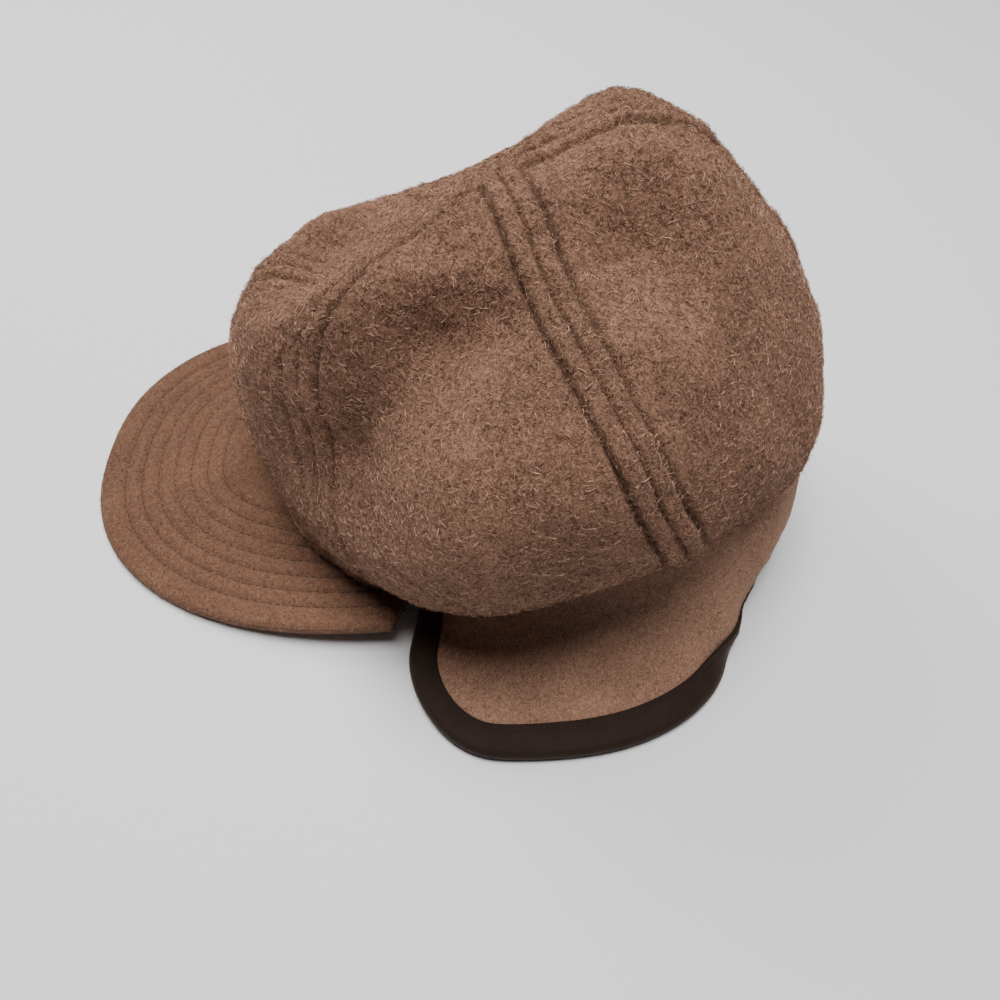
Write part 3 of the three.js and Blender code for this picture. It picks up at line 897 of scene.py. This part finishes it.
def binding_ribbon_piece():
    """Ribbon folded over the flap's edge and held by a row of stitches near its own edges."""
    slot = FELT / 2 + BINDING_SLACK
    skin = FELT / 2 + GAP + RIBBON
    stitch = BINDING_WIDTH - BINDING_STITCH
    # From the ribbon's edge to its fold: mm in from the flap's edge, and mm off its middle
    face = [(BINDING_WIDTH, slot + 0.35), (BINDING_WIDTH - 0.3, skin - 0.15),
            (BINDING_WIDTH - 0.8, skin - 0.05), (stitch, skin - 0.42), (stitch - 0.8, skin - 0.08),
            (4.6, skin), (3, skin), (1.4, skin), (0.2, skin)]
    angles = np.radians(FOLD_ANGLES)
    grids = {inset: (flap_outline(inset), flap_sheet(*flap_outline(inset)))
             for inset, _ in face + [(0, 0), (2, 0)]}
    fold, fold_normal = grids[0][1]
    outwards = unit(fold - grids[2][1][0])
    run = along_rows(fold[None], 1)[0]
    pucker = PUCKER_DEPTH * np.sin(run * 2 * np.pi / PUCKER_GAP) + uneven(fold, RIBBON_LUMPS)

    def at(inset, offset):
        _, (base, normal) = grids[inset]
        loose = pucker * dent(inset - PUCKER_MIDDLE, PUCKER_HALF_WIDTH) * np.sign(offset)
        return base + normal * (offset + loose)[..., None]

    def past(out, up):
        return fold + outwards * out + fold_normal * up

    outside = [at(inset, offset) for inset, offset in face]
    outside += [past(skin * math.cos(a), skin * math.sin(a)) for a in angles]
    outside += [at(inset, -offset) for inset, offset in reversed(face)]
    inside = [at(inset, slot) for inset, _ in face]
    inside += [past(GAP * math.cos(a), slot * math.sin(a)) for a in angles]
    inside += [at(inset, -slot) for inset, _ in reversed(face)]
    loops = np.stack(outside + inside[::-1], axis=1)
    loops[..., 2] = np.maximum(loops[..., 2], 0)
    over = along_rows(loops.mean(axis=0)[None], 1)[0]
    cloth = np.stack(np.broadcast_arrays(run[:, None], over[None]), axis=-1)
    depth = skin - BINDING_STITCH_DEPTH
    for line, way in ((at(stitch, depth), 1), (at(stitch, -depth), -1)):
        stitch_lines["binding"].append((line, way * grids[stitch][1][1]))
    return sleeve("flap_binding_ribbon", loops, binding_ribbon, cloth)


# How far each row of the sweatband's faces is sunk, which rounds its edges, and how much cloth
# a whole climb would take, in mm
SWEATBAND_SECTIONS = 360
SWEATBAND_SUNK = [0.45, 0.12, 0, 0, 0, 0, 0, 0.12, 0.45]
MM_PER_CLIMB = 160


def sweatband_piece():
    around = np.linspace(0, 360, SWEATBAND_SECTIONS + 1)[:-1, None]
    climb = np.linspace(SWEATBAND_FROM, SWEATBAND_TO, len(SWEATBAND_SUNK))
    outside = WOOL + LINING_GAP
    ends = np.array(SWEATBAND_SUNK)
    outer = inside_crown(around, climb, outside + ends)
    inner = inside_crown(around, climb, outside + RIBBON - ends)
    loops = np.concatenate([outer, inner[:, ::-1]], axis=1)
    run = np.broadcast_to(np.radians(around) * HEM_HALF_LENGTH, loops.shape[:2])
    over = np.concatenate([climb, climb[::-1]]) * MM_PER_CLIMB + 0 * run
    return sleeve("sweatband_ribbon_band", loops, band_ribbon, np.stack([run, over], axis=-1), True)


def recipe(name, **kinds):
    """A Geometry Nodes tree with named inputs, and the wires that lead from them."""
    tree = bpy.data.node_groups.new(name, "GeometryNodeTree")
    tree.interface.new_socket("Geometry", in_out="OUTPUT", socket_type="NodeSocketGeometry")
    tree.interface.new_socket("Geometry", in_out="INPUT", socket_type="NodeSocketGeometry")
    for label, kind in kinds.items():
        tree.interface.new_socket(label, in_out="INPUT", socket_type=f"NodeSocket{kind}")
    nodes = Nodes(tree)
    given = tree.nodes.new("NodeGroupInput")
    return nodes, {socket.name: Wire(nodes, socket) for socket in given.outputs if socket.name}


def close_recipe(nodes, geometry, material):
    whole = nodes.add("GeometryNodeRealizeInstances", {}, {"Geometry": geometry})
    made = nodes.add("GeometryNodeSetMaterial", {}, {"Geometry": whole, "Material": material})
    out = nodes.tree.nodes.new("NodeGroupOutput")
    nodes.tree.links.new(made.socket, out.inputs[0])
    return nodes.tree


def run_recipe(name, tree, source, **sizes):
    """What a tree makes of an object, as a plain mesh of its own."""
    modifier = source.modifiers.new("recipe", "NODES")
    modifier.node_group = tree
    for item in tree.interface.items_tree:
        if item.item_type == "SOCKET" and item.in_out == "INPUT" and item.name in sizes:
            modifier[item.identifier] = sizes[item.name]
    graph = bpy.context.evaluated_depsgraph_get()
    mesh = bpy.data.meshes.new_from_object(source.evaluated_get(graph), depsgraph=graph)
    source.modifiers.remove(modifier)
    return add_object(name, mesh)


def random_number(nodes, low, high, seed):
    sockets = {2: low, 3: high, 8: seed}
    return nodes.add("FunctionNodeRandomValue", {"data_type": "FLOAT"}, sockets, 1)


# A fibre's turn and roll in radians, how its size varies along, aside and up, and where its bend
# and its tip lie, as shares of its length and of its arch
SWIRL_TURN = 25.0
HEADING_SPREAD = (-0.9, 0.9)
ROLL_SPREAD = (-1.2, 1.2)
ALONG_SPREAD = (0.55, 1.35)
ASIDE_SPREAD = (-1.3, 1.3)
ARCH_SPREAD = (0.4, 1.5)
BEND_ALONG, BEND_ASIDE, BEND_UP = 0.5, 0.45, 2
TIP_ALONG, TIP_UP = 0.85, 0.6
ROOT_DEPTH = 0.1 * MM


def nap_recipe(steps):
    """Fibres that lie on a cloth in swirls, each an arched blade turned its own way."""
    nodes, given = recipe("nap", fibres="Float", length="Float", width="Float", arch="Float",
                          swirl="Float", seed="Int", finish="Material")
    thick = nodes.add("GeometryNodeInputNamedAttribute", {"data_type": "FLOAT"}, {"Name": "nap"})
    points = nodes.add("GeometryNodeDistributePointsOnFaces", {}, {
        "Mesh": given["Geometry"], "Density": thick * given["fibres"], "Seed": given["seed"],
    })
    upright = Wire(nodes, points.socket.node.outputs["Rotation"])
    place = nodes.add("GeometryNodeInputPosition")
    swirl = nodes.add("ShaderNodeTexNoise", {}, {
        "Vector": place, "Scale": given["swirl"], "Detail": 1.0,
    })
    heading = swirl * SWIRL_TURN + random_number(nodes, *HEADING_SPREAD, 1)
    roll = random_number(nodes, *ROLL_SPREAD, 2)
    turned = nodes.add("ShaderNodeCombineXYZ", {}, {"X": roll, "Z": heading})
    facing = nodes.add("FunctionNodeRotateRotation", {"rotation_space": "LOCAL"}, {
        "Rotation": upright, "Rotate By": turned,
    })
    long = given["length"]
    bend = nodes.add("ShaderNodeCombineXYZ", {}, {
        "X": long * BEND_ALONG, "Y": long * BEND_ASIDE, "Z": given["arch"] * BEND_UP,
    })
    tip = nodes.add("ShaderNodeCombineXYZ", {}, {
        "X": long * TIP_ALONG, "Z": given["arch"] * TIP_UP,
    })
    arch = nodes.add("GeometryNodeCurveQuadraticBezier", {}, {
        "Resolution": steps, "Start": (0, 0, -ROOT_DEPTH), "Middle": bend, "End": tip,
    })
    half = given["width"] * 0.5
    flat = nodes.add("GeometryNodeCurvePrimitiveLine", {}, {
        "Start": nodes.add("ShaderNodeCombineXYZ", {}, {"Y": half * -1}),
        "End": nodes.add("ShaderNodeCombineXYZ", {}, {"Y": half}),
    })
    blade = nodes.add("GeometryNodeCurveToMesh", {}, {"Curve": arch, "Profile Curve": flat})
    size = nodes.add("ShaderNodeCombineXYZ", {}, {
        "X": random_number(nodes, *ALONG_SPREAD, 3),
        "Y": random_number(nodes, *ASIDE_SPREAD, 4),
        "Z": random_number(nodes, *ARCH_SPREAD, 5),
    })
    grown = nodes.add("GeometryNodeInstanceOnPoints", {}, {
        "Points": points, "Instance": blade, "Rotation": facing, "Scale": size,
    })
    return close_recipe(nodes, grown, given["finish"])


STITCH_BENDS = 4
THREAD_SIDES = 6


def stitch_recipe():
    """Short stitches of thread along lines, each dipping into the cloth at both ends."""
    nodes, given = recipe("stitches", pitch="Float", length="Float", thread="Float",
                          rise="Float", finish="Material")
    line = nodes.add("GeometryNodeMeshToCurve", {}, {"Mesh": given["Geometry"]})
    spaced = nodes.add("GeometryNodeResampleCurve", {"mode": "LENGTH"}, {
        "Curve": line, "Length": given["pitch"],
    })
    outwards = nodes.add("GeometryNodeInputNamedAttribute", {"data_type": "FLOAT_VECTOR"},
                         {"Name": "outwards"})
    facing = nodes.add("FunctionNodeAxesToRotation", {"primary_axis": "X", "secondary_axis": "Z"}, {
        0: nodes.add("GeometryNodeInputTangent"), 1: outwards,
    })
    half = given["length"] * 0.5
    dip = given["rise"] * -1
    thread = nodes.add("GeometryNodeCurveQuadraticBezier", {}, {
        "Resolution": STITCH_BENDS,
        "Start": nodes.add("ShaderNodeCombineXYZ", {}, {"X": half * -1, "Z": dip}),
        "Middle": nodes.add("ShaderNodeCombineXYZ", {}, {"Z": given["rise"]}),
        "End": nodes.add("ShaderNodeCombineXYZ", {}, {"X": half, "Z": dip}),
    })
    round_thread = nodes.add("GeometryNodeCurvePrimitiveCircle", {}, {
        "Resolution": THREAD_SIDES, "Radius": given["thread"] * 0.5,
    })
    stitch = nodes.add("GeometryNodeCurveToMesh", {}, {
        "Curve": thread, "Profile Curve": round_thread, "Fill Caps": True,
    })
    sewn = nodes.add("GeometryNodeInstanceOnPoints", {}, {
        "Points": spaced, "Instance": stitch, "Rotation": facing,
    })
    return close_recipe(nodes, sewn, given["finish"])


def sew(name, lines, tree, **sizes):
    """Stitches along lines, each a row of places and of the directions out of the cloth."""
    counts = np.cumsum([0] + [len(line) for line, _ in lines])
    edges = [(i, i + 1) for start, end in zip(counts, counts[1:]) for i in range(start, end - 1)]
    points = (np.concatenate([line for line, _ in lines]) + ORIGIN) * MM
    mesh = bpy.data.meshes.new(f"{name}_lines")
    mesh.from_pydata(points.tolist(), edges, [])
    outwards = np.concatenate([ups for _, ups in lines]).astype(np.float32)
    mesh.attributes.new("outwards", "FLOAT_VECTOR", "POINT").data.foreach_set(
        "vector", outwards.reshape(-1))
    guide = add_object(f"{name}_lines", mesh)
    made = run_recipe(name, tree, guide, **sizes)
    bpy.data.objects.remove(guide)
    return made


panels = {name: crown_panel(name, start, end) for name, start, end in PANELS}
bill_upper, bill_lower = bill_cloths()
flap = flap_cloth()
ribbon = binding_ribbon_piece()
sweatband = sweatband_piece()

stitches = stitch_recipe()
crown_stitches = sew("crown_stitches", stitch_lines["crown"], stitches, pitch=3.0 * MM,
                     length=2.5 * MM, thread=0.34 * MM, rise=0.25 * MM, finish=brown_thread)
bill_stitches = sew("bill_stitches", stitch_lines["bill"], stitches, pitch=2.8 * MM,
                    length=2.2 * MM, thread=0.34 * MM, rise=0.2 * MM, finish=brown_thread)
binding_stitches = sew("binding_stitches", stitch_lines["binding"], stitches, pitch=2.6 * MM,
                       length=2.1 * MM, thread=0.36 * MM, rise=0.16 * MM, finish=dark_thread)

nap = nap_recipe(2)
wisps = nap_recipe(4)
naps = {
    name: run_recipe(f"crown_{name}_nap", nap, panel, fibres=1.35e6, length=2.0 * MM,
                     width=0.105 * MM, arch=0.4 * MM, swirl=190.0, seed=21 + i,
                     finish=nap_fibre)
    for i, (name, panel) in enumerate(panels.items())
}
tufts = {
    name: run_recipe(f"crown_{name}_wisps", wisps, panel, fibres=2.1e5, length=3.0 * MM,
                     width=0.11 * MM, arch=0.35 * MM, swirl=190.0, seed=41 + i,
                     finish=pale_wisp)
    for i, (name, panel) in enumerate(panels.items())
}
bill_nap = run_recipe("bill_nap", nap, bill_upper, fibres=1.2e6, length=1.7 * MM,
                      width=0.07 * MM, arch=0.2 * MM, swirl=120.0, seed=31, finish=nap_fibre)
flap_nap = run_recipe("flap_nap", nap, flap, fibres=0.88e6, length=1.6 * MM, width=0.06 * MM,
                      arch=0.16 * MM, swirl=90.0, seed=32, finish=felt_fibre)

# Every piece rides with the cap, and stands for the solid it is shaped on
for name, panel in panels.items():
    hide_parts(f"crown_{name}")
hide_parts("bill_top")
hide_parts("bill_under")
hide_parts("ear_flap")
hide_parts("flap_binding")
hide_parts("sweatband")
wool_pieces = [*panels.values(), *naps.values(), *tufts.values(), bill_upper, bill_lower,
               bill_nap, crown_stitches, bill_stitches]
for pieces, slot in (
    (wool_pieces, "brushed_wool"),
    ([flap, flap_nap], "flap_felt"),
    ([ribbon, sweatband, binding_stitches], "ribbon"),
):
    for piece in pieces:
        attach(piece, "root")


# Room, in metres
FLOOR_HALF_WIDTH = 3.0
LAMPS_AIM_AT = (0, 0, 0.05)


def floor_piece():
    mesh = bpy.data.meshes.new("floor")
    far = FLOOR_HALF_WIDTH
    corners = [(-far, -far, 0), (far, -far, 0), (far, far, 0), (-far, far, 0)]
    mesh.from_pydata(corners, [], [(0, 1, 2, 3)])
    material, nodes = finish_nodes("pale_paper")
    shader = nodes.add("ShaderNodeBsdfPrincipled", {}, {
        "Base Color": (0.88, 0.88, 0.89, 1), "Roughness": 0.7,
    })
    nodes.add("ShaderNodeOutputMaterial", {}, {"Surface": shader})
    mesh.materials.append(material)
    return add_object("floor", mesh)


def soft_light(name, place, size, power, colour):
    light = bpy.data.lights.new(name, "AREA")
    light.shape = "DISK"
    light.size = size
    light.energy = power
    light.color = colour
    lamp = add_object(name, light)
    lamp.location = place
    aim = Vector(LAMPS_AIM_AT) - Vector(place)
    lamp.rotation_euler = aim.to_track_quat("-Z", "Y").to_euler()


floor_piece()
soft_light("window", (-0.9, -0.75, 1.05), size=0.8, power=11, colour=(1, 0.98, 0.95))
soft_light("ceiling", (-0.1, 0, 1.6), size=1.1, power=38, colour=(1, 0.99, 0.98))
world = bpy.data.worlds.new("room")
bpy.context.scene.world = world
world.use_nodes = True
background = world.node_tree.nodes["Background"].inputs
background["Color"].default_value = (0.86, 0.9, 0.96, 1)
background["Strength"].default_value = 0.05

# Camera: above the wearer's left side, looking down across the cap. The eye is in the cap's own
# millimetres, and the lens and sensor are in millimetres too.
EYE = (215.6, -26.8, 253.6)
LENS = 28.8
SENSOR = 36
YAW, PITCH, ROLL = (math.radians(angle) for angle in (-4.68, 52.39, 3.84))
view = Vector((
    -math.cos(YAW) * math.cos(PITCH), -math.sin(YAW) * math.cos(PITCH), -math.sin(PITCH)
))
level = Vector((-math.sin(YAW), math.cos(YAW), 0))
upward = level.cross(view)
right = level * math.cos(ROLL) + upward * math.sin(ROLL)
upright = upward * math.cos(ROLL) - level * math.sin(ROLL)
camera = add_object("camera", bpy.data.cameras.new("camera"))
camera.matrix_world = Matrix.Translation(Vector((np.array(EYE) + ORIGIN) * MM)) @ Matrix(
    (right, upright, -view)).transposed().to_4x4()
camera.data.lens = LENS
camera.data.sensor_width = SENSOR
camera.data.clip_start = 0.01
bpy.context.scene.camera = camera
